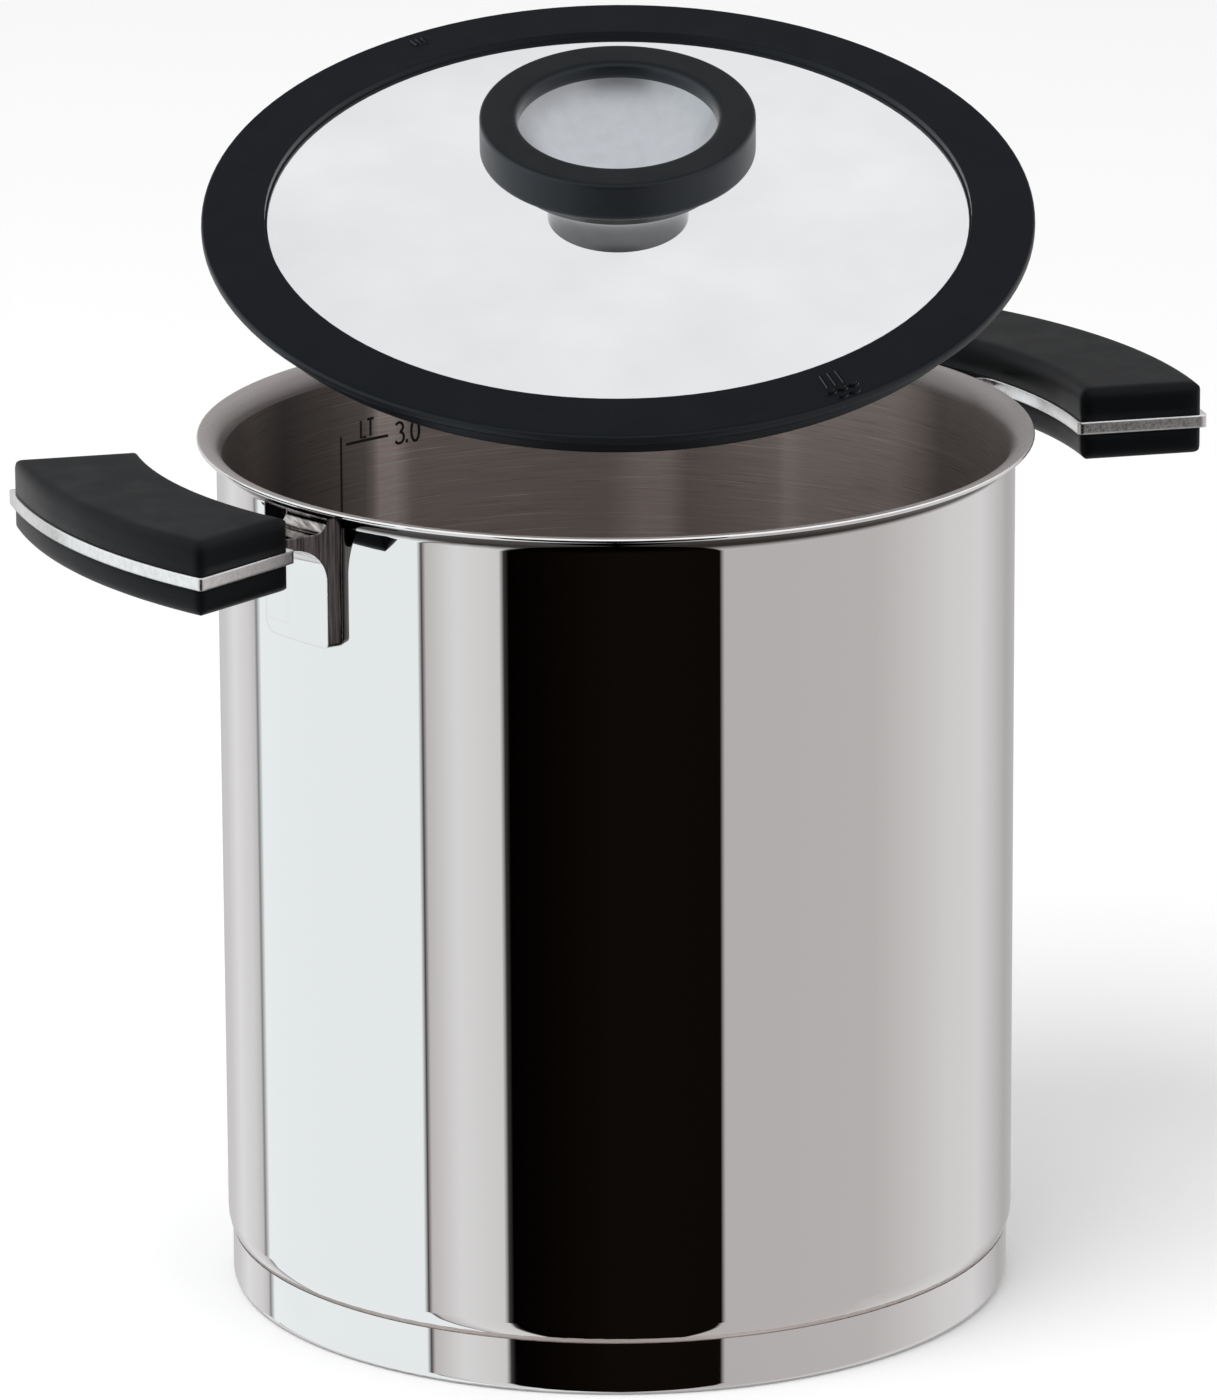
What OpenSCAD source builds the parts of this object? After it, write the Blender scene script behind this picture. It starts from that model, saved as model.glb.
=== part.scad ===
// Tall two-handled stockpot of 16 cm with its lid held open above it.
// The origin is the centre of the base's underside, +Z is up, the handles lie along X.

/* [Pot] */
// Inside diameter of the pot
inner_d = 160; // [120:1:240]
// Height of the rim above the table
pot_h = 178.9; // [120:0.1:240]
// Thickness of the steel wall
wall_t = 1; // [0.8:0.1:1.4]
// Height of the underside of the pot's floor above the table
floor_z = 8; // [6:0.1:9]
// Outer radius of the bend between wall and floor
corner_r = 6.8; // [5:0.1:9]
// Inner radius of the rim's outward flare
flare_r = 4.2; // [3:0.1:6]
// Flat end of the lip beyond the flare
lip_flat = 0.25; // [0.1:0.05:0.6]

/* [Base] */
// Height of the capsule's side, up to the seam
base_h = 11.1; // [10:0.1:13]
// How far the capsule's side stands in from the wall
base_inset = 0.9; // [0.4:0.1:2]
// Sheet thickness of the base capsule
cap_t = 0.8; // [0.6:0.1:1.2]
// Radius of the capsule's lower edge
base_edge_r = 1.6; // [1:0.1:2.5]

/* [Handle steel] */
// Thickness of the handle's steel sheet
band_t = 2.55; // [2:0.05:3.5]
// Depth of the top of the steel sheet below the pot's rim
band_drop = 4.75; // [4.5:0.05:20]
// How far the steel stands proud of the grip all round
band_proud = 1; // [0.4:0.1:2]
// Half the angle that the grip covers, seen from the pot's axis
grip_half_angle = 18.1; // [14:0.1:24]
// Width of the foot on the wall
foot_w = 19.4; // [15:0.1:26]
// Width of the neck between foot and grip
neck_w = 11.6; // [9:0.1:14]
// Distance of the foot's outer edge from the handle's centre line
foot_side = 23.4; // [20:0.1:26]
// How far the foot reaches down below the steel sheet
foot_below = 21.3; // [16:0.1:30]
// Thickness of the foot against the wall
foot_t = 3.1; // [2:0.1:4]
// Radius of the bend under the neck
bend_r = 7.5; // [4:0.1:10]
// Radius of the bend above the neck
upper_bend_r = 2.6; // [1:0.1:2.8]
// Radius of the inner corners between neck and grip plate
neck_fillet_r = 4; // [2:0.1:5]

/* [Grips] */
// Distance of the grip's inner side from the pot's wall
grip_reach = 17.2; // [13:0.1:25]
// Width of the grip from its inner to its outer side
grip_w = 25.4; // [18:0.1:32]
// Thickness of the grip above the steel
grip_upper_t = 6.7; // [4:0.1:9]
// Thickness of the grip below the steel
grip_lower_t = 5.9; // [4:0.1:9]
// Radius of the grip's rounded edges
grip_edge_r = 2; // [1:0.1:2.5]
// Radius of the pegs that join upper and lower grip
peg_r = 4; // [3:0.1:5]
// Clearance of a peg in the steel
peg_gap = 0.1; // [0.05:0.05:0.2]

/* [Lid] */
// How far the lid's rubber rim reaches out beyond the pot's inside
rim_over = 4; // [2:0.1:6]
// Width of the rubber rim
rim_w = 12.8; // [10:0.1:16]
// Height of the rim's outer wall
rim_wall_h = 2.25; // [2:0.05:3]
// Height of the rim's inner edge
rim_in_h = 2.9; // [2.5:0.05:3.5]
// Radius of the rim's outer edges
rim_edge_r = 0.8; // [0.4:0.1:1]
// Height of the small bead along the rim's inner wall
bead_h = 0.75; // [0.4:0.05:1]
// How far that bead stands out of the wall
bead_w = 0.5; // [0.2:0.1:0.8]
// Height of the lid plate's upper face where the rim starts
plate_z = 0.72; // [0.5:0.02:1]
// Thickness of the lid's steel plate
plate_t = 0.8; // [0.6:0.1:1]
// How far the plate runs on inside the rim
plate_in_rim = 5; // [3:0.1:6]
// Rise of the lid's dome from the rim to the centre
dome_rise = 0.8; // [0.5:0.1:6]
// Depth of the rim's skirt, which centres the lid in the pot
skirt_h = 4.5; // [3:0.1:7]
// Thickness of that skirt
skirt_t = 2.4; // [1.5:0.1:4]
// Clearance of the skirt in the pot
skirt_gap = 0.8; // [0.4:0.1:2]

/* [Knob] */
// Outer radius of the knob's rubber ring
knob_r = 27.7; // [22:0.1:32]
// Radius of the ring's opening
knob_open_r = 20.1; // [16:0.1:22]
// Height of the ring's top above the lid's seat
knob_top_z = 25.2; // [21:0.1:34]
// Height of the ring
knob_ring_h = 8.3; // [6.8:0.1:9]
// Radius of the ring's outer edges
knob_edge_r = 0.7; // [0.5:0.1:1.2]
// Radius of the ring's inner edge
knob_inner_edge_r = 1.4; // [0.5:0.1:1.8]
// Depth of the cup's edge below the ring's top
cup_edge_drop = 3.3; // [2:0.1:4]
// Thickness of the cup's flange inside the ring
cup_flange_t = 3.4; // [2.5:0.1:3.5]
// Radius of the cup's flange
cup_flange_r = 24.4; // [23:0.1:26]
// Radius of the cup's foot on the plate
cup_foot_r = 14.2; // [11:0.1:15]
// Radius of the cup's hollow outer curve
cup_curve_r = 12; // [10:0.1:14]
// Depth of the dish inside the cup
dish_depth = 12; // [9:0.1:12.4]
// Radius of the fixing screw's shank
screw_r = 2.5; // [2:0.1:3]
// Radius of the screw's head
screw_head_r = 5.5; // [4:0.1:7]
// Height of the screw's head
screw_head_h = 2.2; // [1.5:0.1:3]
// Length of the screw in the cup
screw_in_cup = 4.2; // [3:0.1:4.5]
// Clearance of the screw in the plate and the cup
screw_gap = 0.1; // [0.05:0.05:0.2]

/* [Lid pose] */
// Height of the lid's seat above the pot's rim while it is held open
lid_lift = 43.1; // [36:0.1:80]
// Tilt of the open lid
lid_tilt = 17.8; // [0:0.1:24]
// Direction in which the open lid leans, from +X
lid_lean_dir = 238.8; // [0:0.1:360]
// Sideways offset of the open lid
lid_side = 0.7; // [0:0.1:2]

/* [Hidden] */
$fn = 120;
in_r = inner_d / 2;
out_r = in_r + wall_t;
lip_r = in_r + flare_r + lip_flat + wall_t / 2;
flare_z = pot_h - flare_r;
under_r = flare_r - wall_t;
floor_top_z = floor_z + wall_t;
base_r = out_r - base_inset;
core_gap = 0.05;
core_drop = 0.8;
core_h = base_h - core_drop;
band_top_z = pot_h - band_drop;
band_low_z = band_top_z - band_t;
foot_low_z = band_low_z - foot_below;
foot_gap = 0.05;
foot_in_r = out_r + foot_gap;
foot_out_r = out_r + foot_t;
foot_end_r = 3;
foot_corner_r = 1.2;
foot_start = foot_side - foot_w;
neck_start = foot_side - neck_w;
foot_relief = 0.03;
foot_top_drop = 0.8;
foot_top_z = flare_z + under_r - foot_top_drop;
bend_past = 0.1;
bend_end_r = foot_out_r + bend_r + bend_past;
bend_sweep = 40;
grip_in_r = out_r + grip_reach;
grip_out_r = grip_in_r + grip_w;
band_in_r = grip_in_r - band_proud;
band_out_r = grip_out_r + band_proud;
band_corner_r = 1;
band_half_angle = grip_half_angle + band_proud * 180 / (PI * (grip_in_r + grip_out_r) / 2);
neck_end_r = band_in_r + 2;
peg_ring_r = (grip_in_r + grip_out_r) / 2;
peg_step = 11;
peg_angles = [-peg_step, 0, peg_step];
end_past = 5;
end_over = 0.02;
corner_soft = 1.12;
corner_stop = 0.9;
rim_out_r = in_r + rim_over;
rim_in_r = rim_out_r - rim_w;
plate_edge_r = rim_in_r + plate_in_rim;
plate_low_z = plate_z - plate_t;
dome_base_r = rim_in_r - bead_w;
dome_r = (dome_base_r * dome_base_r + dome_rise * dome_rise) / (2 * dome_rise);
dome_top_z = plate_z + dome_rise;
dome_fn = 3600;
skirt_r = in_r - skirt_gap;
rim_gap = 0.05;
rim_under_t = 0.9;
ring_low_z = knob_top_z - knob_ring_h;
cup_edge_z = knob_top_z - cup_edge_drop;
flange_low_z = cup_edge_z - cup_flange_t;
cup_foot_z = dome_top_z - cup_foot_r * cup_foot_r / (2 * dome_r);
cup_neck_in = 2.2;
cup_neck_r = cup_flange_r - cup_neck_in;
cup_curve_x = cup_foot_r + cup_curve_r;
dish_edge_r = knob_open_r + 0.1;
dish_r = (dish_edge_r * dish_edge_r + dish_depth * dish_depth) / (2 * dish_depth);
dish_z = cup_edge_z - dish_depth + dish_r;
ring_gap = 0.05;
lid_z = pot_h + lid_lift;
over = 1;

// Half plane outline of a ring sector with rounded corners, symmetrical about +X
module sector_plan(r1, r2, half_angle, corner) {
    inner_angle = half_angle - asin(corner / (r1 + corner));
    outer_angle = half_angle - asin(corner / (r2 - corner));
    wedge_ring(r1 + corner, r2 - corner, half_angle);
    wedge_ring(r1, r1 + 2 * corner, inner_angle);
    wedge_ring(r2 - 2 * corner, r2, outer_angle);
    for (side = [-1, 1]) {
        rotate(side * inner_angle) translate([r1 + corner, 0]) circle(corner, $fn = 48);
        rotate(side * outer_angle) translate([r2 - corner, 0]) circle(corner, $fn = 48);
    }
}

// Plain ring sector between two radii
module wedge_ring(r1, r2, half_angle) {
    far = 2 * r2;
    intersection() {
        difference() {
            circle(r2, $fn = 240);
            circle(r1, $fn = 240);
        }
        polygon([
            [0, 0],
            far * [cos(half_angle), -sin(half_angle)],
            far * [cos(half_angle), sin(half_angle)]
        ]);
    }
}

// Ring sector slab with rounded upper edges and corners; its flat face lies at z = 0
module soft_slab(r1, r2, half_angle, thick, edge) {
    swept = half_angle + end_past;
    difference() {
        intersection() {
            rotate(-swept) rotate_extrude(angle = 2 * swept, $fn = 240)
                soft_section(r1, r2, thick, edge);
            for_ends(half_angle) soft_end(r2, thick, edge);
        }
        for (side = [0, 1]) mirror([0, side, 0]) {
            corner_cut(r1, 1, half_angle, thick, edge);
            corner_cut(r2, -1, half_angle, thick, edge);
        }
    }
}

// Half section of the slab: a rectangle with rounded upper corners
module soft_section(r1, r2, thick, edge) {
    translate([r1, 0]) square([r2 - r1, thick - edge]);
    translate([r1 + edge, 0]) square([r2 - r1 - 2 * edge, thick]);
    for (x = [r1 + edge, r2 - edge]) translate([x, thick - edge]) circle(edge, $fn = 64);
}

// Keeps what lies between the two ends of a sector
module for_ends(half_angle) {
    intersection() {
        rotate(half_angle) children();
        mirror([0, 1, 0]) rotate(half_angle) children();
    }
}

// Long bar along +X, below y = 0, with a rounded upper edge at y = 0
module soft_end(r2, thick, edge) {
    rotate([90, 0, 90]) linear_extrude(2 * r2) {
        translate([-2 * r2, -over]) square([2 * r2, thick - edge + over]);
        translate([-2 * r2, -over]) square([2 * r2 - edge, thick + over + end_over]);
        translate([-edge, thick - edge]) circle(edge, $fn = 64);
    }
}

// What rounds one upright corner, inward = 1 at the inner radius and -1 at the outer one
module corner_cut(radius, inward, half_angle, thick, edge) {
    stop = corner_stop * edge;
    rotate(half_angle) translate([radius, 0, -over]) linear_extrude(thick + 2 * over) difference() {
        translate([inward > 0 ? -edge : -stop, -edge]) square([edge + stop, 2 * edge]);
        translate([inward * edge, -edge]) circle(corner_soft * edge, $fn = 64);
    }
}

// Half section of everything inside the pot's outer surface, up to the flare
module pot_outer_section() {
    square([out_r - corner_r, flare_z]);
    translate([0, floor_z + corner_r]) square([out_r, flare_z - floor_z - corner_r]);
    translate([out_r - corner_r, floor_z + corner_r]) circle(corner_r);
}

// Half section of the pot's sheet: floor, bend, wall and flared lip
module pot_section() {
    difference() {
        intersection() {
            pot_outer_section();
            translate([0, floor_z]) square([out_r, pot_h]);
        }
        translate([0, floor_top_z]) square([in_r - corner_r + wall_t, pot_h]);
        translate([0, floor_z + corner_r]) square([in_r, pot_h]);
        translate([out_r - corner_r, floor_z + corner_r]) circle(corner_r - wall_t);
    }
    intersection() {
        translate([in_r + flare_r, flare_z]) difference() {
            circle(flare_r);
            circle(under_r);
        }
        translate([in_r, flare_z]) square([flare_r, flare_r + over]);
    }
    translate([in_r + flare_r, pot_h - wall_t]) square([lip_flat, wall_t]);
    translate([lip_r - wall_t / 2, pot_h - wall_t / 2]) circle(wall_t / 2, $fn = 32);
}

// Drawn steel pot
module pot_body() {
    color("silver") rotate_extrude($fn = 180) pot_section();
}

// Steel capsule under the pot, its side closing against the bend of the wall
module base_cap() {
    edge_x = base_r - base_edge_r;
    color("silver") rotate_extrude($fn = 180) difference() {
        union() {
            square([edge_x, base_h]);
            translate([0, base_edge_r]) square([base_r, base_h - base_edge_r]);
            translate([edge_x, base_edge_r]) circle(base_edge_r, $fn = 48);
        }
        translate([0, cap_t]) square([base_r - cap_t, base_h]);
        capsule_clearance();
    }
}

// Room that the pot's bend takes in the capsule
module capsule_clearance() {
    translate([out_r - corner_r, floor_z + corner_r]) circle(corner_r + core_gap);
}

// Aluminium disc that spreads the heat, between the floor and the capsule
module base_core() {
    color("gainsboro") rotate_extrude($fn = 180) difference() {
        translate([0, cap_t]) square([base_r - cap_t - core_gap, core_h - cap_t]);
        translate([0, floor_z]) square([out_r - corner_r, base_h]);
        capsule_clearance();
    }
}

// Outline of the neck, its inner corners rounded into the grip plate
module neck_plan() {
    difference() {
        translate([out_r / 2, neck_start]) square([neck_end_r - out_r / 2, neck_w]);
        circle(foot_out_r - over, $fn = 240);
    }
    neck_fillet(foot_side, 1);
    neck_fillet(neck_start, -1);
}

// Fills the inner corner between one edge of the neck and the grip plate
module neck_fillet(edge_y, side) {
    fillet_y = edge_y + side * neck_fillet_r;
    fillet_x = sqrt(pow(band_in_r - neck_fillet_r, 2) - fillet_y * fillet_y);
    touch = band_in_r / (band_in_r - neck_fillet_r) * [fillet_x, fillet_y];
    difference() {
        polygon([
            [fillet_x, edge_y - side * over],
            [fillet_x, fillet_y],
            touch,
            touch + [over, 0],
            [neck_end_r, edge_y - side * over]
        ]);
        translate([fillet_x, fillet_y]) circle(neck_fillet_r, $fn = 64);
    }
}

// Half section of the foot on the wall and of the bends that lead into the neck
module bend_section() {
    low_bend_z = band_low_z - bend_r;
    translate([foot_in_r, foot_low_z]) square([foot_out_r - foot_in_r, band_low_z - foot_low_z + over]);
    translate([foot_in_r, band_low_z]) square([bend_end_r - foot_in_r, band_t]);
    difference() {
        translate([foot_out_r - over, low_bend_z]) square([bend_r + over, bend_r + over]);
        translate([foot_out_r + bend_r, low_bend_z]) circle(bend_r);
    }
    intersection() {
        upper_bend_section();
        union() {
            translate([0, band_low_z]) square([neck_end_r, flare_z - band_low_z]);
            translate([in_r + flare_r, flare_z]) circle(under_r - foot_gap);
        }
    }
}

// Half section of the foot's end above the neck and of the bend beside it
module upper_bend_section() {
    up_bend_z = band_top_z + upper_bend_r;
    up_h = foot_top_z - band_top_z + over;
    translate([foot_in_r, band_top_z - over]) square([foot_out_r - foot_in_r, up_h]);
    difference() {
        translate([foot_out_r - over, band_top_z - over]) square([upper_bend_r + over, up_h]);
        translate([foot_out_r + upper_bend_r, up_bend_z]) circle(upper_bend_r);
        translate([foot_out_r, up_bend_z]) square(upper_bend_r + over);
    }
}

// Foot and bends round the wall: the foot keeps its width, the bends only the neck's
module bend() {
    difference() {
        intersection() {
            rotate(-bend_sweep) rotate_extrude(angle = 2 * bend_sweep, $fn = 240) bend_section();
            rotate([90, 0, 90]) linear_extrude(2 * out_r) foot_elevation();
        }
        translate([0, 0, foot_low_z + foot_end_r]) linear_extrude(pot_h) difference() {
            translate([out_r / 2, foot_start - over]) square([out_r, neck_start - foot_start + over]);
            circle(foot_out_r - foot_relief, $fn = 240);
        }
    }
}

// Outline of the foot as seen from the handle's side, its lower corners rounded
module foot_elevation() {
    translate([foot_start, foot_low_z + foot_end_r]) square([foot_w, pot_h]);
    translate([foot_start + foot_end_r, foot_low_z])
        square([foot_w - foot_end_r - foot_corner_r, foot_end_r + over]);
    translate([foot_start + foot_end_r, foot_low_z + foot_end_r]) circle(foot_end_r, $fn = 64);
    translate([foot_side - foot_corner_r, foot_low_z + foot_corner_r]) {
        circle(foot_corner_r, $fn = 48);
        square([foot_corner_r, foot_end_r]);
    }
}

// Handle steel towards +X: foot, neck and the plate inside the grip
module handle_frame() {
    bend();
    translate([0, 0, band_low_z]) linear_extrude(band_t) difference() {
        union() {
            sector_plan(band_in_r, band_out_r, band_half_angle, band_corner_r);
            neck_plan();
        }
        for (a = peg_angles) rotate(a) translate([peg_ring_r, 0]) circle(peg_r + peg_gap, $fn = 64);
    }
}

// Grip towards +X, moulded through the plate: upper and lower pad joined by pegs
module grip() {
    translate([0, 0, band_top_z])
        soft_slab(grip_in_r, grip_out_r, grip_half_angle, grip_upper_t, grip_edge_r);
    translate([0, 0, band_low_z]) mirror([0, 0, 1])
        soft_slab(grip_in_r, grip_out_r, grip_half_angle, grip_lower_t, grip_edge_r);
    for (a = peg_angles) rotate(a) translate([peg_ring_r, 0, band_low_z - over])
        cylinder(h = band_t + 2 * over, r = peg_r);
}

module handle_frame_left() {
    color("lightgray") rotate(180) handle_frame();
}

module handle_frame_right() {
    color("lightgray") handle_frame();
}

module grip_left() {
    color("#26282b") rotate(180) grip();
}

module grip_right() {
    color("#26282b") grip();
}

// Lifts a lid piece from its seat plane to the open lid's place and tilt
module lid_place() {
    side_dir = lid_lean_dir + 90;
    translate([lid_side * cos(side_dir), lid_side * sin(side_dir), lid_z])
        rotate([0, 0, lid_lean_dir]) rotate([0, lid_tilt, 0]) children();
}

// Section of everything under a shallow dome through the given top height
module dome_section(top_z) {
    intersection() {
        translate([0, top_z - dome_r]) circle(dome_r, $fn = dome_fn);
        translate([0, top_z - 2 * dome_rise]) square([dome_base_r, 3 * dome_rise]);
    }
}

// Domed steel plate with a flat edge inside the rubber rim
module lid_plate() {
    color("whitesmoke") lid_place() difference() {
        rotate_extrude($fn = 180) {
            difference() {
                dome_section(dome_top_z);
                translate([0, -plate_t]) dome_section(dome_top_z);
                translate([0, plate_low_z - 3 * dome_rise]) square([dome_base_r, 3 * dome_rise]);
            }
            translate([dome_base_r - wall_t, plate_low_z])
                square([plate_edge_r - dome_base_r + wall_t, plate_t]);
        }
        translate([0, 0, plate_low_z - over]) cylinder(h = dome_top_z + 2 * over, r = screw_r + screw_gap);
    }
}

// Half section of the rubber rim: sloping top, rounded outer wall, skirt and the plate's groove
module rim_section() {
    edge_x = rim_out_r - rim_edge_r;
    skirt_in_r = skirt_r - skirt_t;
    groove_r = plate_edge_r + rim_gap;
    difference() {
        union() {
            polygon([[rim_in_r, 0], [edge_x, 0], [edge_x, rim_wall_h], [rim_in_r, rim_in_h]]);
            translate([edge_x, rim_edge_r]) square([rim_edge_r, rim_wall_h - 2 * rim_edge_r]);
            for (z = [rim_edge_r, rim_wall_h - rim_edge_r])
                translate([edge_x, z]) circle(rim_edge_r, $fn = 32);
            translate([rim_in_r - bead_w, plate_z]) square([bead_w + wall_t, bead_h]);
            translate([rim_in_r + wall_t, plate_low_z - rim_under_t])
                square([skirt_r - rim_in_r - wall_t, wall_t]);
            translate([skirt_in_r, -skirt_h]) square([skirt_t, skirt_h + wall_t]);
        }
        translate([0, plate_low_z]) square([groove_r, plate_t]);
        translate([0, -skirt_h]) square([rim_in_r + wall_t, skirt_h + plate_z]);
    }
}

module lid_rim() {
    color("#2b2e31") lid_place() rotate_extrude($fn = 180) rim_section();
}

// Steel cup of the knob: hollow-curved foot, flange and dish in one turned piece
module knob_cup() {
    curve_z = cup_foot_z + sqrt(cup_curve_r * cup_curve_r - pow(cup_curve_x - cup_foot_r, 2));
    color("silver") lid_place() difference() {
        rotate_extrude($fn = 120) difference() {
            union() {
                difference() {
                    translate([0, plate_z]) square([cup_neck_r, flange_low_z - plate_z + over]);
                    translate([cup_curve_x, curve_z]) circle(cup_curve_r);
                }
                translate([0, flange_low_z]) square([cup_flange_r, cup_flange_t]);
            }
            dome_section(dome_top_z);
            translate([0, dish_z]) circle(dish_r, $fn = 180);
        }
        cylinder(h = dome_top_z + screw_in_cup + screw_gap, r = screw_r + screw_gap, $fn = 48);
    }
}

// Rubber ring that grips the cup's flange
module knob_ring() {
    edge_x = knob_r - knob_edge_r;
    inner_x = knob_open_r + knob_inner_edge_r;
    color("#2b2e31") lid_place() rotate_extrude($fn = 120) difference() {
        union() {
            translate([knob_open_r, ring_low_z])
                square([knob_inner_edge_r, knob_ring_h - knob_inner_edge_r]);
            translate([inner_x, ring_low_z]) square([edge_x - inner_x, knob_ring_h]);
            translate([edge_x, ring_low_z + knob_edge_r]) square([knob_edge_r, knob_ring_h - 2 * knob_edge_r]);
            translate([inner_x, knob_top_z - knob_inner_edge_r]) circle(knob_inner_edge_r, $fn = 48);
            for (z = [ring_low_z + knob_edge_r, knob_top_z - knob_edge_r])
                translate([edge_x, z]) circle(knob_edge_r, $fn = 32);
        }
        translate([0, flange_low_z - ring_gap])
            square([cup_flange_r + ring_gap, cup_flange_t + ring_gap]);
        translate([0, ring_low_z - over])
            square([cup_neck_r + ring_gap, flange_low_z - ring_low_z + 2 * over]);
    }
}

// Screw that holds the knob from below
module knob_screw() {
    head_top_z = dome_top_z - plate_t - ring_gap;
    color("silver") lid_place() {
        translate([0, 0, head_top_z - screw_head_h])
            cylinder(h = screw_head_h, r = screw_head_r, $fn = 64);
        translate([0, 0, head_top_z - over])
            cylinder(h = plate_t + screw_in_cup + over, r = screw_r, $fn = 48);
    }
}

pot_body();
base_core();
base_cap();
handle_frame_left();
handle_frame_right();
grip_left();
grip_right();
lid_plate();
lid_rim();
knob_cup();
knob_ring();
knob_screw();
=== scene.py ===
import math
import bpy
from mathutils import Matrix, Vector


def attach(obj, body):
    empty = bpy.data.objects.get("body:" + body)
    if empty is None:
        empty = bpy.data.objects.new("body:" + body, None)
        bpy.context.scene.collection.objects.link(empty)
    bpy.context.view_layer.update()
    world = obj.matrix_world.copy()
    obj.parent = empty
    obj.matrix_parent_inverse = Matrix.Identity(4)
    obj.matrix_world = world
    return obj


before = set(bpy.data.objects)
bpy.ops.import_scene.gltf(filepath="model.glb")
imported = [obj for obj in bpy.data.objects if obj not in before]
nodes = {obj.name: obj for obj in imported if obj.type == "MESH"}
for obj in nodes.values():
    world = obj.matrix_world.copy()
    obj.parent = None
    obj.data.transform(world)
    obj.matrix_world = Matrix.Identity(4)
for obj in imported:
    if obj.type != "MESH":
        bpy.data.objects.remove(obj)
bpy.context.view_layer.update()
mm = 0.001


# sRGB hex to the linear colour that Blender's sockets take
def paint(hexText):
    channels = [int(hexText[i:i + 2], 16) / 255 for i in (1, 3, 5)]
    return [c / 12.92 if c <= 0.04045 else ((c + 0.055) / 1.055) ** 2.4 for c in channels] + [1.0]


# one node with its settings and its inputs, each a value or the socket that feeds it
def addNode(tree, kind, settings=None, inputs=None):
    made = tree.nodes.new(kind)
    for name, value in (settings or {}).items():
        setattr(made, name, value)
    for key, value in (inputs or {}).items():
        if isinstance(value, bpy.types.NodeSocket):
            tree.links.new(value, made.inputs[key])
        else:
            made.inputs[key].default_value = value
    return made


def newMaterial(name):
    material = bpy.data.materials.new(name)
    material.use_nodes = True
    material.node_tree.nodes.clear()
    return material, material.node_tree


def closeMaterial(tree, shader):
    addNode(tree, "ShaderNodeOutputMaterial", None, {"Surface": shader.outputs[0]})


def compute(tree, operation, *values):
    return addNode(tree, "ShaderNodeMath", {"operation": operation}, dict(enumerate(values))).outputs[0]


# vectors in, vector out
def combine(tree, operation, *values):
    return addNode(tree, "ShaderNodeVectorMath", {"operation": operation}, dict(enumerate(values))).outputs[0]


# vectors in, number out
def measure(tree, operation, *values):
    made = addNode(tree, "ShaderNodeVectorMath", {"operation": operation}, dict(enumerate(values)))
    return made.outputs["Value"]


def enlarge(tree, vector, factor):
    return addNode(tree, "ShaderNodeVectorMath", {"operation": "SCALE"}, {0: vector, "Scale": factor}).outputs[0]


def partsOf(tree, vector):
    return addNode(tree, "ShaderNodeSeparateXYZ", None, {0: vector}).outputs


# how far the value is on its way through the span, as a number in the result's range
def between(tree, value, span, result=(0.0, 1.0), kind="LINEAR"):
    return addNode(tree, "ShaderNodeMapRange", {"interpolation_type": kind}, {
        "Value": value, "From Min": span[0], "From Max": span[1],
        "To Min": result[0], "To Max": result[1]}).outputs[0]


def blend(tree, kind, factor, first, second):
    mixed = addNode(tree, "ShaderNodeMix", {"data_type": kind}, {"Factor": factor, "A": first, "B": second})
    return mixed.outputs["Result"]


def toned(tree, hexText, factor):
    return enlarge(tree, paint(hexText)[:3], factor)


# a brightness that changes with the direction in the plane of the two coordinates
def rampAround(tree, along, across, stops, shadeOf):
    angle = compute(tree, "ARCTAN2", across, along)
    turn = compute(tree, "MULTIPLY_ADD", angle, 0.5 / math.pi, 0.5)
    ramp = addNode(tree, "ShaderNodeValToRGB", None, {0: turn})
    marks = ramp.color_ramp.elements
    for i, (degrees, shade) in enumerate(stops):
        mark = marks[i] if i < 2 else marks.new(degrees / 360 + 0.5)
        mark.position = degrees / 360 + 0.5
        mark.color = shadeOf(shade)
    return ramp.outputs[0]


# place on a piece in millimetres, from the middle of the pot's foot
def placeOn(tree):
    return enlarge(tree, addNode(tree, "ShaderNodeTexCoord").outputs["Object"], 1 / mm)


def levelled(tree, place):
    return combine(tree, "MULTIPLY", place, (1, 1, 0))


# random pattern with blotches of these three sizes in millimetres
def noiseOf(tree, place, sizes, detail=3.0):
    stretched = combine(tree, "MULTIPLY", place, tuple(1 / size for size in sizes))
    return addNode(tree, "ShaderNodeTexNoise", None, {
        "Vector": stretched, "Scale": 1.0, "Detail": detail, "Roughness": 0.58}).outputs["Fac"]


# the pattern as a tone or a roughness
def rangeOf(tree, noise, result, spread=0.2):
    return between(tree, noise, (0.5 - spread, 0.5 + spread), result)


# camera, as the photographer stood: long lens, 16 degrees down onto the rim
cameraPlan = {
    "place": (-1.0150, -1.6772, 0.6909),  # metres in the pot's frame
    "turn": -31.13,                       # degrees from looking along +Y
    "down": 16.19,
    "roll": -0.31,
    "lens": 256.9,                        # mm
    "sensor": 36,                         # mm
    "nearest": 0.05,                      # metres
}


def setCamera():
    data = bpy.data.cameras.new("photoCamera")
    data.sensor_width = cameraPlan["sensor"]
    data.lens = cameraPlan["lens"]
    data.clip_start = cameraPlan["nearest"]
    camera = bpy.data.objects.new("photoCamera", data)
    bpy.context.scene.collection.objects.link(camera)
    turn = Matrix.Rotation(math.radians(cameraPlan["turn"]), 4, "Z")
    tip = Matrix.Rotation(math.radians(90 - cameraPlan["down"]), 4, "X")
    roll = Matrix.Rotation(math.radians(cameraPlan["roll"]), 4, "Z")
    camera.matrix_world = Matrix.Translation(cameraPlan["place"]) @ turn @ tip @ roll
    bpy.context.scene.camera = camera
    print("camera set")


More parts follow.
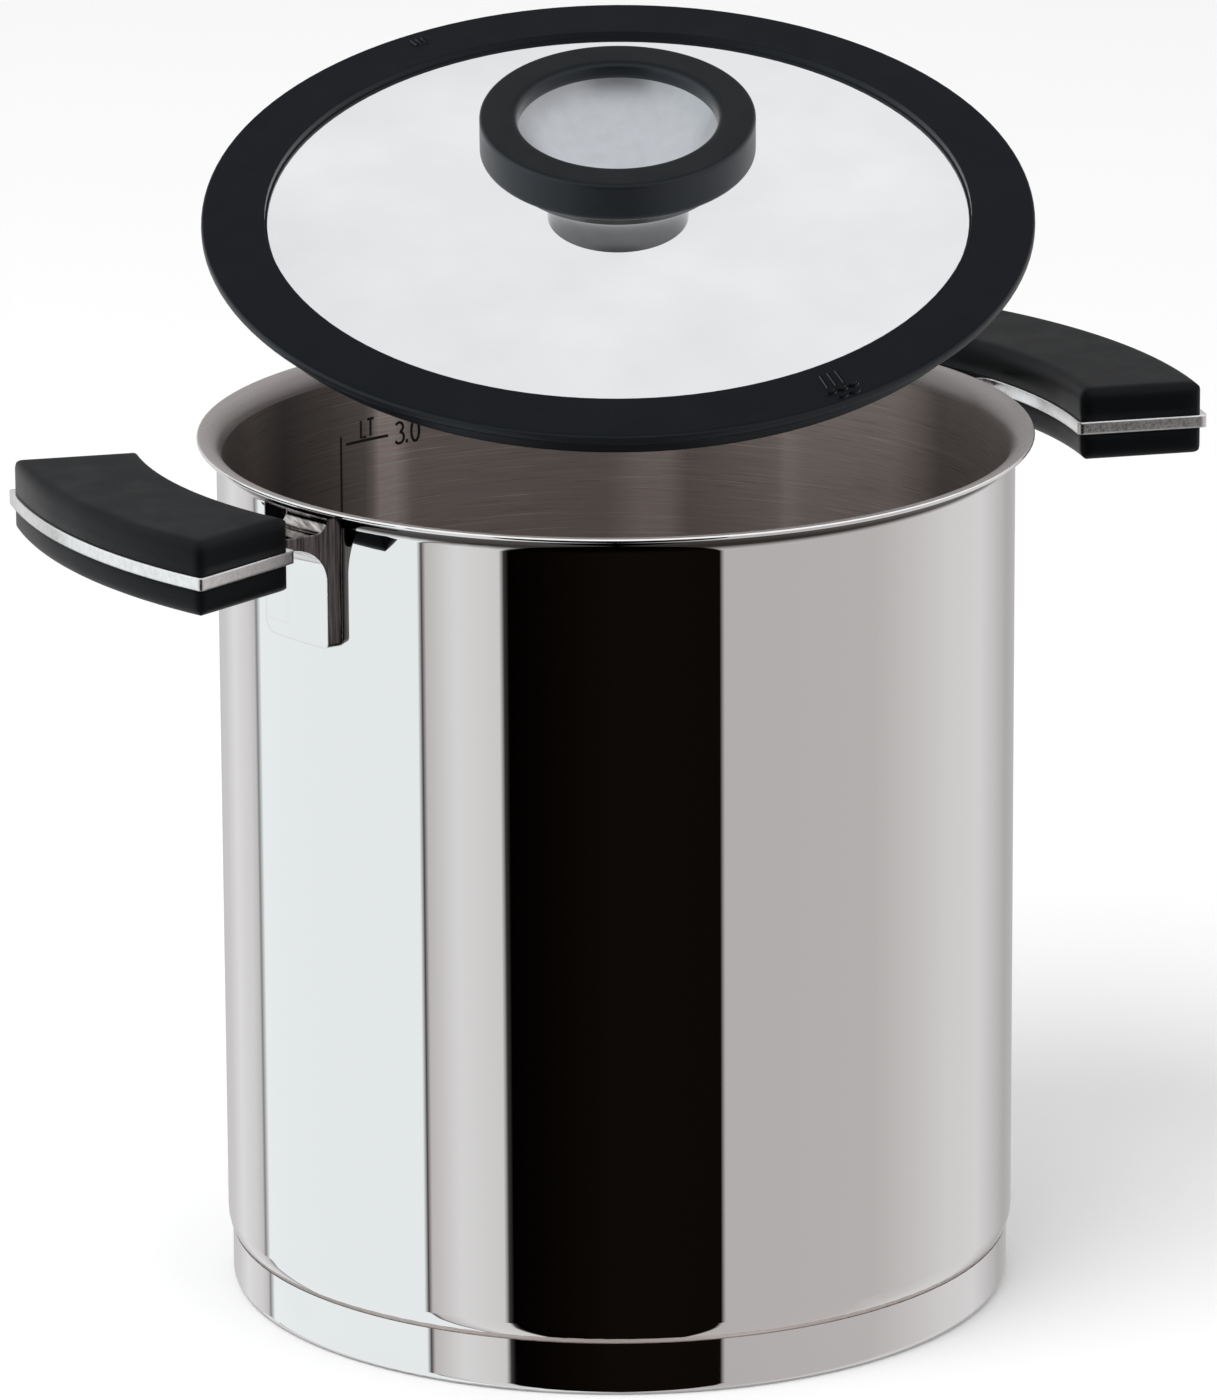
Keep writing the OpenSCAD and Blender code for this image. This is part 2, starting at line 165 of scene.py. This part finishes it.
# studio: white room, a big softbox on the left, black cloth behind the camera, grey wall on the right
studio = {
    "toCamera": 238.8,        # direction from the pot to the camera, degrees from +X
    "ceiling": "#fbfbfc",
    "ceilingRise": (8, 34),   # degrees above the horizon where the walls fade into the ceiling
    "wallLevel": 1.43,        # polished steel gives back 70 % of it, so the shades below are as seen in the pot
    "roomLight": 0.78,
    "groundLight": 1.0,
    "floor": "#fafafa",
    "floorRadius": 7,
    "floorCorners": 96,
    "floorRoughness": 0.9,
    "floorGloss": 0.1,
    "lampPower": 30,
    "lampSize": 1.6,
    "lampPlace": (-1.1, -0.4, 2.2),
    "lampAim": (0, 0, 0.1),
}
# what stands round the pot: degrees to the right of the camera, shade there
studioWalls = [
    (-180, "#a3a1a1"), (-157, "#bbb9b9"), (-146, "#d2d1d2"), (-134, "#c9c7c7"), (-128.2, "#b6b3b3"),
    (-127.8, "#14110f"), (-126.8, "#14110f"), (-126.4, "#e3e7e8"),  # frame and face of the softbox
    (-58.4, "#e3e7e8"), (-58.1, "#3a3634"), (-57.6, "#3a3634"), (-57.2, "#b4b0af"),
    (-47, "#d3d2d2"), (-33, "#c8c6c5"),
    (-32.3, "#020101"), (0, "#0e0a07"), (29.6, "#0d0906"),          # black cloth
    (30.3, "#b0acac"), (80, "#b3afae"), (112, "#cbc9c8"), (130, "#cdcbcb"), (154, "#a19e9e"), (180, "#a3a1a1"),
]


# mirrors see the walls, the camera sees white ground, everything else gets even room light
def buildRoom():
    world = bpy.data.worlds.new("studioRoom")
    world.use_nodes = True
    bpy.context.scene.world = world
    tree = world.node_tree
    tree.nodes.clear()
    ray = addNode(tree, "ShaderNodeTexCoord").outputs["Generated"]
    turned = addNode(tree, "ShaderNodeVectorRotate", {"rotation_type": "Z_AXIS"},
                     {"Vector": ray, "Angle": math.radians(-studio["toCamera"])}).outputs[0]
    parts = partsOf(tree, turned)
    walls = rampAround(tree, parts["X"], parts["Y"], studioWalls, paint)
    span = [math.radians(degrees) for degrees in studio["ceilingRise"]]
    rise = between(tree, compute(tree, "ARCSINE", parts["Z"]), span, kind="SMOOTHSTEP")
    room = blend(tree, "RGBA", rise, walls, paint(studio["ceiling"]))
    white = paint("#ffffff")
    seen = addNode(tree, "ShaderNodeBackground", None, {"Color": room, "Strength": studio["wallLevel"]})
    soft = addNode(tree, "ShaderNodeBackground", None, {"Color": white, "Strength": studio["roomLight"]})
    ground = addNode(tree, "ShaderNodeBackground", None, {"Color": white, "Strength": studio["groundLight"]})
    rays = addNode(tree, "ShaderNodeLightPath")
    lit = addNode(tree, "ShaderNodeMixShader", None, {
        0: rays.outputs["Is Glossy Ray"], 1: soft.outputs[0], 2: seen.outputs[0]})
    final = addNode(tree, "ShaderNodeMixShader", None, {
        0: rays.outputs["Is Camera Ray"], 1: lit.outputs[0], 2: ground.outputs[0]})
    addNode(tree, "ShaderNodeOutputWorld", None, {"Surface": final.outputs[0]})
    bpy.context.scene.view_settings.view_transform = "Standard"
    print("room built")


def buildLamp():
    lampData = bpy.data.lights.new("overheadSoftbox", "AREA")
    lampData.shape = "DISK"
    lampData.size = studio["lampSize"]
    lampData.energy = studio["lampPower"]
    lamp = bpy.data.objects.new("overheadSoftbox", lampData)
    bpy.context.scene.collection.objects.link(lamp)
    lamp.location = studio["lampPlace"]
    lamp.rotation_euler = (Vector(studio["lampAim"]) - lamp.location).to_track_quat("-Z", "Y").to_euler()
    lamp.visible_glossy = False
    print("lamp built")


# matt paint: the floor only carries the soft shadow
def buildFloor():
    bpy.ops.mesh.primitive_circle_add(
        vertices=studio["floorCorners"], radius=studio["floorRadius"], fill_type="NGON")
    ground = bpy.context.active_object
    ground.name = "studioFloor"
    ground.visible_glossy = False
    material, tree = newMaterial("mattPaintedFloor")
    closeMaterial(tree, addNode(tree, "ShaderNodeBsdfPrincipled", None, {
        "Base Color": paint(studio["floor"]), "Roughness": studio["floorRoughness"],
        "Specular IOR Level": studio["floorGloss"]}))
    ground.data.materials.append(material)
    print("floor built")


# Mirror-polished 18/10 stainless outside, satin brushed round the axis inside: the outside mirrors the
# studio as clear upright bands, the inside breaks them into soft streaks crossed by fine rings. Painted into the
# colour: the inside's upright streaks (painted reflections), the lip's darker tone (painted shade) and the
# flare's dark underside (painted reflection)
potSteel = {
    "colour": "#dadada",
    "mirrorRoughness": (0.006, 0.018),
    "mirrorClouds": (60, 60, 2.4),   # mm, size of the polishing marks
    "smoothStart": (25, 60),         # mm above the table, where the smoothed wall begins
    "underPaintedReflection": "#3d3937",        # the flare's underside, painted dark: a painted reflection of the dark surroundings below the lip
    "underStart": (174.9, 175.7),    # mm above the table
    "underEdge": 84.4,               # mm from the axis
    "insideTint": "#fff0ea",
    "insideRadius": 80.45,           # mm, between the inner and outer faces of the wall
    "insideFloor": 8.5,              # mm above the table
    "insideMetal": 0.3,              # the rest scatters like the fine scratches do
    "brushedRoughness": (0.25, 0.39),
    "stretch": 0.9,                  # how far the rings draw the reflections out
    "stretchTurn": 0.25,
    "rings": (14, 14, 0.15),         # mm, long round the wall and fine up the wall
    "ringBump": 0.35,
    "ringDepth": 0.02,               # mm
    "toneRings": (14, 14, 0.375),
    "ringTone": (0.92, 1.08),
    "scratches": (34, 34, 0.2),      # mm, long and sparse
    "scratchStart": (0.6, 0.72),
    "scratchTone": (1.0, 1.7),
    # the lip's darker colour is painted shade on the up-facing lip
    "lipPaintedShade": "#86807e",
    "lipEdge": 84.72,                # mm from the axis
    "flareCentre": (84.2, 174.7),    # mm from the axis and above the table, centre of the flare's arc
    "flareMiddle": 3.7,              # mm, radius halfway between its upper face and its underside
}
# painted reflections of the studio, as upright streaks on the brushed inside: degrees round the pot from +X,
# brightness
paintedInsideStreaks = [
    (-180, 0.3), (-110, 0.5), (-31, 0.24), (2, 0.24), (12, 0.65), (29, 0.8), (32, 1.0), (34, 0.75), (48, 0.6),
    (51, 0.95), (55, 0.95), (60, 0.62), (91, 0.52), (94, 1.0), (97, 1.0), (99, 0.34), (107, 0.18), (118, 0.07),
    (127, 0.15), (134, 0.09), (150, 0.16), (180, 0.3),
]


# the true round of the wall and of the flare's underside, in place of the mesh's small flats
def smoothWall(tree, place, height, radius, mask):
    centreR, centreZ = potSteel["flareCentre"]
    outward = combine(tree, "NORMALIZE", levelled(tree, place))
    ahead = enlarge(tree, outward, compute(tree, "SUBTRACT", centreR, radius))
    drop = compute(tree, "MINIMUM", compute(tree, "SUBTRACT", centreZ, height), 0.0)
    dip = addNode(tree, "ShaderNodeCombineXYZ", None, {2: drop}).outputs[0]
    trueRound = combine(tree, "NORMALIZE", combine(tree, "ADD", ahead, dip))
    share = compute(tree, "MULTIPLY", mask, between(tree, height, potSteel["smoothStart"]))
    return blend(tree, "VECTOR", share, addNode(tree, "ShaderNodeNewGeometry").outputs["Normal"], trueRound)


# brightness of the brushed inside: rings, sparse long scratches, and the studio's upright streaks as painted
# reflections
def insideGrainAndPaintedStreaks(tree, place):
    rings = rangeOf(tree, noiseOf(tree, place, potSteel["toneRings"], 5.0), potSteel["ringTone"])
    thin = noiseOf(tree, place, potSteel["scratches"], 2.0)
    scratches = between(tree, thin, potSteel["scratchStart"], potSteel["scratchTone"])
    parts = partsOf(tree, place)
    paintedStreaks = rampAround(tree, parts["X"], parts["Y"], paintedInsideStreaks, lambda shade: (shade, shade, shade, 1))
    return compute(tree, "MULTIPLY", compute(tree, "MULTIPLY", rings, scratches), paintedStreaks)


def makePotSteel():
    material, tree = newMaterial("mirrorPolishedStainless")
    place = placeOn(tree)
    height = partsOf(tree, place)["Z"]
    radius = measure(tree, "LENGTH", levelled(tree, place))
    beyond = compute(tree, "GREATER_THAN", height, potSteel["insideFloor"])
    within = compute(tree, "LESS_THAN", radius, potSteel["insideRadius"])
    wallInside = compute(tree, "MULTIPLY", within, beyond)
    # the flare's two faces, told apart by their distance from the centre of its arc
    centreR, centreZ = potSteel["flareCentre"]
    offset = addNode(tree, "ShaderNodeCombineXYZ", None, {
        0: compute(tree, "SUBTRACT", radius, centreR), 1: compute(tree, "SUBTRACT", height, centreZ)}).outputs[0]
    away = measure(tree, "LENGTH", offset)
    upperFace = compute(tree, "MULTIPLY", compute(tree, "GREATER_THAN", away, potSteel["flareMiddle"]),
                        compute(tree, "GREATER_THAN", height, centreZ))
    lip = compute(tree, "MULTIPLY", upperFace, compute(tree, "LESS_THAN", radius, potSteel["lipEdge"]))
    inside = compute(tree, "MAXIMUM", wallInside, lip)
    underFace = compute(tree, "LESS_THAN", away, potSteel["flareMiddle"])
    outerFace = compute(tree, "MAXIMUM", underFace, compute(tree, "LESS_THAN", height, centreZ))
    outside = compute(tree, "MULTIPLY", compute(tree, "GREATER_THAN", radius, potSteel["insideRadius"]),
                      compute(tree, "LESS_THAN", radius, potSteel["underEdge"]))
    outside = compute(tree, "MULTIPLY", outside, outerFace)
    # painted reflection: the flare's underside takes the dark colour
    under = compute(tree, "MULTIPLY", between(tree, height, potSteel["underStart"]),
                    compute(tree, "MULTIPLY", outside, underFace))
    outsideColour = blend(tree, "RGBA", under, paint(potSteel["colour"]), paint(potSteel["underPaintedReflection"]))
    # painted shade on the lip, painted reflections as streaks on the inside
    insideColour = blend(tree, "RGBA", lip, toned(tree, potSteel["insideTint"], insideGrainAndPaintedStreaks(tree, place)),
                         paint(potSteel["lipPaintedShade"]))
    rings = noiseOf(tree, place, potSteel["rings"], 4.0)
    bump = addNode(tree, "ShaderNodeBump", None, {
        "Strength": compute(tree, "MULTIPLY", wallInside, potSteel["ringBump"]),
        "Distance": potSteel["ringDepth"] * mm, "Height": rings,
        "Normal": smoothWall(tree, place, height, radius, outside)})
    polish = rangeOf(tree, noiseOf(tree, place, potSteel["mirrorClouds"]), potSteel["mirrorRoughness"])
    brushed = rangeOf(tree, rings, potSteel["brushedRoughness"])
    grooves = addNode(tree, "ShaderNodeTangent", {"direction_type": "RADIAL", "axis": "Z"})
    closeMaterial(tree, addNode(tree, "ShaderNodeBsdfPrincipled", None, {
        "Base Color": blend(tree, "RGBA", inside, outsideColour, insideColour),
        "Metallic": blend(tree, "FLOAT", inside, 1.0, potSteel["insideMetal"]),
        "Roughness": blend(tree, "FLOAT", inside, polish, brushed),
        "Anisotropic": compute(tree, "MULTIPLY", inside, potSteel["stretch"]),
        "Anisotropic Rotation": potSteel["stretchTurn"],
        "Tangent": grooves.outputs[0], "Normal": bump.outputs[0]}))
    return material


# Mirror-polished stainless of the base capsule: clear reflections, faint wiping marks
capsuleSteel = {
    "colour": "#dadada",
    "roughness": 0.025,
    "haze": 0.012,            # how far the roughness wanders
    "cloudSize": 22,          # mm across one polishing cloud
    "cloudTone": 0.02,
    "driftScale": 1.6,        # how much larger the clouds of tone are than those of haze
}
# Cast aluminium: the dull skin of the disc as it leaves the mould
discAluminium = dict(capsuleSteel, colour="#c9cacc", roughness=0.3, haze=0.05)
# Satin-polished so finely that it stays white with faint clouds and shows no picture of the knob
lidSteel = dict(capsuleSteel, colour="#c9cacb", roughness=0.34, haze=0.04, cloudTone=0.05, cloudSize=26)
# Turned screw steel, a little hazy
screwSteel = dict(capsuleSteel, roughness=0.2, haze=0.03)


def makeMetal(name, values):
    material, tree = newMaterial(name)
    place = placeOn(tree)
    size, rough, haze, change = [values[key] for key in ("cloudSize", "roughness", "haze", "cloudTone")]
    clouds = noiseOf(tree, place, (size, size, size))
    wide = size * values["driftScale"]
    drift = noiseOf(tree, place, (wide, wide, wide))
    closeMaterial(tree, addNode(tree, "ShaderNodeBsdfPrincipled", None, {
        "Base Color": toned(tree, values["colour"], rangeOf(tree, drift, (1 - change, 1 + change))),
        "Metallic": 1.0, "Roughness": rangeOf(tree, clouds, (rough - haze, rough + haze))}))
    return material


# Turned steel of the knob: polished stem, and a satin dish that turns the studio into one soft gradient.
# The stem's dark colour is a painted reflection of the silicone ring, which the steel doesn't see
knobSteel = {
    # painted reflection: the stem is darkened for the dark ring above it
    "stemPaintedReflection": "#727273",
    "stemRoughness": 0.12,
    "dishColour": "#a6a9ad",
    "dishRoughness": 0.33,
    "dishCentre": 32.9,       # mm above the lid's seat, centre of the dish's sphere
    "dishReach": 23.4,        # mm, a little more than the sphere's radius
    "clouds": (3, 3, 3),      # mm
    "cloudTone": (0.96, 1.04),
}


def makeKnobSteel():
    material, tree = newMaterial("turnedKnobSteel")
    place = placeOn(tree)
    centre = lidMatrix() @ Vector((0, 0, knobSteel["dishCentre"] * mm)) / mm
    reach = measure(tree, "DISTANCE", place, tuple(centre))
    dish = compute(tree, "LESS_THAN", reach, knobSteel["dishReach"])
    tone = rangeOf(tree, noiseOf(tree, place, knobSteel["clouds"]), knobSteel["cloudTone"])
    closeMaterial(tree, addNode(tree, "ShaderNodeBsdfPrincipled", None, {
        "Base Color": blend(tree, "RGBA", dish, toned(tree, knobSteel["stemPaintedReflection"], tone),
                            toned(tree, knobSteel["dishColour"], tone)),
        "Metallic": 1.0,
        "Roughness": blend(tree, "FLOAT", dish, knobSteel["stemRoughness"], knobSteel["dishRoughness"])}))
    return material


# Stamped stainless sheet: mirror-polished foot and neck whose rounded edges draw dark lines, and a brighter,
# slightly gritty tumbled edge round the grip. The dark sheared edges of the foot and the dark upper side of the
# neck are painted reflections in the colour, broken into painted stripes
handleSteel = {
    "colour": "#dadada",
    "footRoughness": 0.03,
    "bandRoughness": 0.2,
    "bandStart": (95, 98),    # mm from the pot's axis, where the polish ends
    "edgeRadius": 0.6,        # mm
    "cutPaintedReflection": "#524f4e",   # sheared edges of the foot, painted dark and streaked: a painted reflection
    "cutFacing": (0.75, 0.9),  # how squarely a face looks round the pot to count as a sheared edge
    "neckPaintedReflection": "#8b8785",  # upper side of the neck, painted darker: a painted reflection of the dark lip and grips above it
    "neckTop": (172.6, 173.6),  # mm above the table
    "paintedStreaks": (0.5, 6, 14),  # mm, stripes in the painted reflections of the neck and the sheared edges
    "streakTone": (0.45, 1.7),
    "streakSpread": 0.14,     # smaller is harsher
    "grit": 0.7,              # mm between the tumbling marks
    "gritRoughness": (-0.06, 0.06),
    "gritTone": (0.93, 1.07),
    "gritBump": 0.3,
    "gritDepth": 0.03,        # mm
}


def makeHandleSteel():
    material, tree = newMaterial("polishedStainlessSheet")
    place = placeOn(tree)
    height = partsOf(tree, place)["Z"]
    radius = measure(tree, "LENGTH", levelled(tree, place))
    band = between(tree, radius, handleSteel["bandStart"])
    foot = compute(tree, "SUBTRACT", 1.0, band)
    size = handleSteel["grit"]
    grit = noiseOf(tree, place, (size, size, size))
    marks = rangeOf(tree, grit, handleSteel["gritRoughness"])
    tone = rangeOf(tree, noiseOf(tree, place, (2 * size, 2 * size, 2 * size)), handleSteel["gritTone"])
    rounded = addNode(tree, "ShaderNodeBevel", {"samples": 6}, {"Radius": handleSteel["edgeRadius"] * mm})
    bump = addNode(tree, "ShaderNodeBump", None, {
        "Strength": compute(tree, "MULTIPLY", band, handleSteel["gritBump"]),
        "Distance": handleSteel["gritDepth"] * mm, "Height": grit, "Normal": rounded.outputs[0]})
    # the sheared edges face round the pot
    ringwise = combine(tree, "NORMALIZE", combine(tree, "CROSS_PRODUCT", (0, 0, 1), place))
    facing = addNode(tree, "ShaderNodeNewGeometry").outputs["Normal"]
    turn = compute(tree, "ABSOLUTE", measure(tree, "DOT_PRODUCT", facing, ringwise))
    # painted reflections: the sheared edges, picked by how they face, and the neck's upper side get darker
    # colours
    cut = compute(tree, "MULTIPLY", between(tree, turn, handleSteel["cutFacing"]), foot)
    upper = compute(tree, "MULTIPLY", between(tree, height, handleSteel["neckTop"]), foot)
    paintedStreaks = rangeOf(tree, noiseOf(tree, place, handleSteel["paintedStreaks"], 2.0), handleSteel["streakTone"],
                      handleSteel["streakSpread"])
    sheet = blend(tree, "RGBA", upper, toned(tree, handleSteel["colour"], blend(tree, "FLOAT", band, 1.0, tone)),
                  toned(tree, handleSteel["neckPaintedReflection"], paintedStreaks))
    closeMaterial(tree, addNode(tree, "ShaderNodeBsdfPrincipled", None, {
        "Base Color": blend(tree, "RGBA", cut, sheet, toned(tree, handleSteel["cutPaintedReflection"], paintedStreaks)),
        "Metallic": 1.0,
        "Roughness": blend(tree, "FLOAT", band, handleSteel["footRoughness"],
                           compute(tree, "ADD", handleSteel["bandRoughness"], marks)),
        "Normal": bump.outputs[0]}))
    return material


# Moulded black grip rubber: deep matt grey on the spark-eroded top faces, a soft bluish sheen on the
# smoother sides
gripRubber = {
    "colour": "#08090a",
    "topRoughness": 0.62,
    "topGloss": 0.1,
    "sideRoughness": 0.34,
    "sideGloss": 0.12,
    "topLean": (0.45, 0.95),  # from side to top, by how squarely a face looks up
    "sheen": "#dbe6f2",       # bluish tint of its reflections
    "softEdge": 3.2,          # mm, worn roundness of the edges
    "grain": (0.3, 0.3, 0.3),  # mm between the pits of the mould's texture
    "grainTone": (0.85, 1.15),
    "grainBump": 0.2,
    "grainDepth": 0.02,       # mm
    "clouds": (9, 9, 9),      # mm
    "cloudRoughness": (-0.04, 0.04),
}
# Moulded silicone of the lid: an even dark grey top and a glossier skirt
rimSilicone = dict(gripRubber, colour="#141619", topGloss=0.02, sideGloss=0.3, softEdge=0.5)
# Moulded silicone of the knob: its sides catch the most light
knobSilicone = dict(gripRubber, colour="#17191b", topGloss=0.06, sideGloss=0.55, softEdge=1.2)
# Raised marks out of polished mould cuts: darker than the rim, with thin light edges
markSilicone = dict(gripRubber, colour="#050606", topRoughness=0.5, topGloss=0.01, sideGloss=0.3, softEdge=0.1)


def makeMoulded(name, values, up):
    material, tree = newMaterial(name)
    place = placeOn(tree)
    pits = noiseOf(tree, place, values["grain"], 2.0)
    change = rangeOf(tree, noiseOf(tree, place, values["clouds"]), values["cloudRoughness"])
    rounded = addNode(tree, "ShaderNodeBevel", {"samples": 6}, {"Radius": values["softEdge"] * mm}).outputs[0]
    top = between(tree, measure(tree, "DOT_PRODUCT", rounded, up), values["topLean"], kind="SMOOTHSTEP")
    bump = addNode(tree, "ShaderNodeBump", None, {
        "Strength": values["grainBump"], "Distance": values["grainDepth"] * mm, "Height": pits,
        "Normal": rounded})
    rough = blend(tree, "FLOAT", top, values["sideRoughness"], values["topRoughness"])
    closeMaterial(tree, addNode(tree, "ShaderNodeBsdfPrincipled", None, {
        "Base Color": toned(tree, values["colour"], rangeOf(tree, pits, values["grainTone"])),
        "Roughness": compute(tree, "ADD", rough, change),
        "Specular IOR Level": blend(tree, "FLOAT", top, values["sideGloss"], values["topGloss"]),
        "Specular Tint": paint(values["sheen"]), "Normal": bump.outputs[0]}))
    return material


def wear(nodeName, material):
    for materialSlot in nodes[nodeName].material_slots:
        materialSlot.material = material


def dressNodes():
    wear("pot_body", makePotSteel())
    wear("base_cap", makeMetal("polishedCapsuleSteel", capsuleSteel))
    wear("base_core", makeMetal("castAluminium", discAluminium))
    wear("lid_plate", makeMetal("satinLidSteel", lidSteel))
    wear("knob_cup", makeKnobSteel())
    wear("knob_screw", makeMetal("screwSteel", screwSteel))
    handle = makeHandleSteel()
    rubber = makeMoulded("mouldedGripRubber", gripRubber, (0, 0, 1))
    for side in ("left", "right"):
        wear("handle_frame_" + side, handle)
        wear("grip_" + side, rubber)
    wear("lid_rim", makeMoulded("mouldedSilicone", rimSilicone, lidUp()))
    wear("knob_ring", makeMoulded("mouldedKnobSilicone", knobSilicone, lidUp()))
    # the photo's lid shows no picture of these
    for nodeName in ("knob_cup", "knob_ring", "lid_rim"):
        nodes[nodeName].visible_glossy = False
    print("nodes dressed")


# raised strokes along lines of points, each point placed by a function of its two coordinates and its lift
def strokeMesh(name, strokes, placer, width, depth):
    points, faces = [], []
    for stroke in strokes:
        start = len(points)
        for i, (u, v) in enumerate(stroke):
            before = stroke[max(i - 1, 0)]
            after = stroke[min(i + 1, len(stroke) - 1)]
            along = Vector((after[0] - before[0], after[1] - before[1])).normalized()
            side = Vector((-along.y, along.x)) * width / 2
            slim = side * 0.6  # the strokes narrow towards their tops
            for offset, lift in ((side, 0), (slim, depth), (-slim, depth), (-side, 0)):
                points.append(placer(u + offset.x, v + offset.y, lift))
            if i:
                for k in range(4):
                    a, b = start + 4 * (i - 1), start + 4 * i
                    faces.append((a + k, a + (k + 1) % 4, b + (k + 1) % 4, b + k))
        faces.append((start, start + 3, start + 2, start + 1))
        last = start + 4 * (len(stroke) - 1)
        faces.append((last, last + 1, last + 2, last + 3))
    mesh = bpy.data.meshes.new(name)
    mesh.from_pydata(points, [], faces)
    mesh.validate()
    piece = bpy.data.objects.new(name, mesh)
    bpy.context.scene.collection.objects.link(piece)
    return piece


# points on an ellipse's arc: centre, half axes, angles in degrees
def arc(centreU, centreV, radiusU, radiusV, first, last, steps):
    turns = [math.radians(first + (last - first) * i / steps) for i in range(steps + 1)]
    return [(centreU + radiusU * math.cos(t), centreV + radiusV * math.sin(t)) for t in turns]


def shifted(stroke, u, v):
    return [(pointU + u, pointV + v) for pointU, pointV in stroke]


# litre scale printed inside the wall: a rule with its 3-litre tick and plain figures
scaleMarks = {
    "wall": 80.0,             # mm, inner radius of the pot
    "gap": 0.03,              # mm from the wall to the print
    "rule": 104.6,            # degrees from +X
    "ruleHeights": (162.9, 60),  # mm above the table
    "tick": (103.6, 95.4),    # degrees from +X
    "tickHeight": 161.0,
    "tickSteps": 10,
    "unitAt": 99.4,           # middle of the unit's two letters
    "unitLift": 0.7,          # mm above the tick
    "figuresAt": 91.8,
    "figuresLift": -2.2,
    "line": 0.62,
    "thickness": 0.01,
    "ink": "#171412",
    "inkRoughness": 0.5,
    "inkSpecks": (0.4, 0.4, 0.4),
    "inkTone": (0.7, 1.3),
}
# mm from the middle of their foot
unitStrokes = [[(-1.6, 3.7), (-1.6, 0), (-0.2, 0)], [(1.0, 0), (1.0, 3.7)], [(0.1, 3.7), (1.9, 3.7)]]
figureStrokes = [
    arc(-2.2, 3.55, 0.95, 1.05, 150, -70, 8) + arc(-2.2, 1.3, 1.15, 1.25, 80, -150, 9),
    [(-0.35, -0.05), (-0.35, 0.75)],
    arc(1.75, 2.3, 0.95, 2.25, 90, 450, 18),
]


# screen ink etched into the steel: black and dull
def makeInk():
    material, tree = newMaterial("etchedInk")
    specks = noiseOf(tree, placeOn(tree), scaleMarks["inkSpecks"], 2.0)
    fade = rangeOf(tree, specks, scaleMarks["inkTone"])
    closeMaterial(tree, addNode(tree, "ShaderNodeBsdfPrincipled", None, {
        "Base Color": toned(tree, scaleMarks["ink"], fade), "Roughness": scaleMarks["inkRoughness"]}))
    return material


def buildScale():
    wall = scaleMarks["wall"]

    # u runs to the right as seen from the pot's axis, in mm along the wall; v is the height
    def onWall(u, v, lift):
        turn = math.radians(90) - u / wall
        reach = (wall - scaleMarks["gap"] - lift) * mm
        return (reach * math.cos(turn), reach * math.sin(turn), v * mm)

    def across(degrees):
        return math.radians(90 - degrees) * wall

    level, steps = scaleMarks["tickHeight"], scaleMarks["tickSteps"]
    left, right = [across(degrees) for degrees in scaleMarks["tick"]]
    rule = [(across(scaleMarks["rule"]), height) for height in scaleMarks["ruleHeights"]]
    tick = [(left + (right - left) * i / steps, level) for i in range(steps + 1)]
    unit, figures = across(scaleMarks["unitAt"]), across(scaleMarks["figuresAt"])
    strokes = [rule, tick]
    strokes += [shifted(stroke, unit, level + scaleMarks["unitLift"]) for stroke in unitStrokes]
    strokes += [shifted(stroke, figures, level + scaleMarks["figuresLift"]) for stroke in figureStrokes]
    piece = strokeMesh("litre_scale", strokes, onWall, scaleMarks["line"], scaleMarks["thickness"])
    piece.data.materials.append(makeInk())
    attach(piece, "root")
    print("litre scale built")


# the open lid's place, as in the CAD source
lidPose = {
    "lean": 238.8,            # degrees from +X, the side it tips towards
    "tilt": 17.8,
    "lift": 222.0,            # mm from the table to the lid's seat
    "side": 0.7,              # mm
}


def lidMatrix():
    sideways = math.radians(lidPose["lean"] + 90)
    side = lidPose["side"]
    shift = Vector((side * math.cos(sideways), side * math.sin(sideways), lidPose["lift"])) * mm
    return (Matrix.Translation(shift) @ Matrix.Rotation(math.radians(lidPose["lean"]), 4, "Z")
            @ Matrix.Rotation(math.radians(lidPose["tilt"]), 4, "Y"))


def lidUp():
    return tuple(lidMatrix().col[2][:3])


# raised steam and pour marks moulded on the silicone rim
rimMarks = {
    "outer": (83.2, 2.25),    # radius and height of the sloping top's outer end
    "inner": (71.2, 2.9),
    "middle": 79,             # mm, radius that the marks are measured from
    "pourAt": 211,            # degrees round the lid
    "steamAt": 33,
    "width": 0.62,
    "height": 0.45,
    "sunk": 0.05,             # mm that the strokes stand in the rim
}
# mm round the rim and outwards
pourStrokes = [shifted([(-0.05, -0.6), (0.05, 1.7)], u, 0) for u in (-1.2, 0, 1.2)]
steamStrokes = [shifted([(0.45, -4.4), (-0.42, -0.1)], u, 0) for u in (-1.9, 0, 1.9)]
steamPuffs = [(-2.5, 0.9), (0.1, 0.9), (2.7, 0.9), (-1.2, 3.0), (1.5, 3.0)]
steamStrokes += [arc(u, v, 1.0, 0.9, 10, 170, 7) for u, v in steamPuffs]


def buildRimMarks():
    silicone = makeMoulded("mouldedMarks", markSilicone, lidUp())
    toWorld = lidMatrix()
    (outR, outZ), (inR, inZ) = rimMarks["outer"], rimMarks["inner"]
    middle, sunk = rimMarks["middle"], rimMarks["sunk"]

    def onRim(at):
        def placer(u, v, lift):
            radius = middle + v
            turn = math.radians(at) + u / middle
            top = outZ + (inZ - outZ) * (outR - radius) / (outR - inR)
            spot = Vector((radius * math.cos(turn), radius * math.sin(turn), top - sunk + lift)) * mm
            return tuple(toWorld @ spot)
        return placer

    marks = (("rim_pour_mark", pourStrokes, rimMarks["pourAt"]),
             ("rim_steam_mark", steamStrokes, rimMarks["steamAt"]))
    for name, strokes, at in marks:
        piece = strokeMesh(name, strokes, onRim(at), rimMarks["width"], rimMarks["height"] + sunk)
        piece.data.materials.append(silicone)
        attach(piece, "root")
    print("rim marks built")


setCamera()
buildRoom()
buildLamp()
buildFloor()
dressNodes()
buildScale()
buildRimMarks()
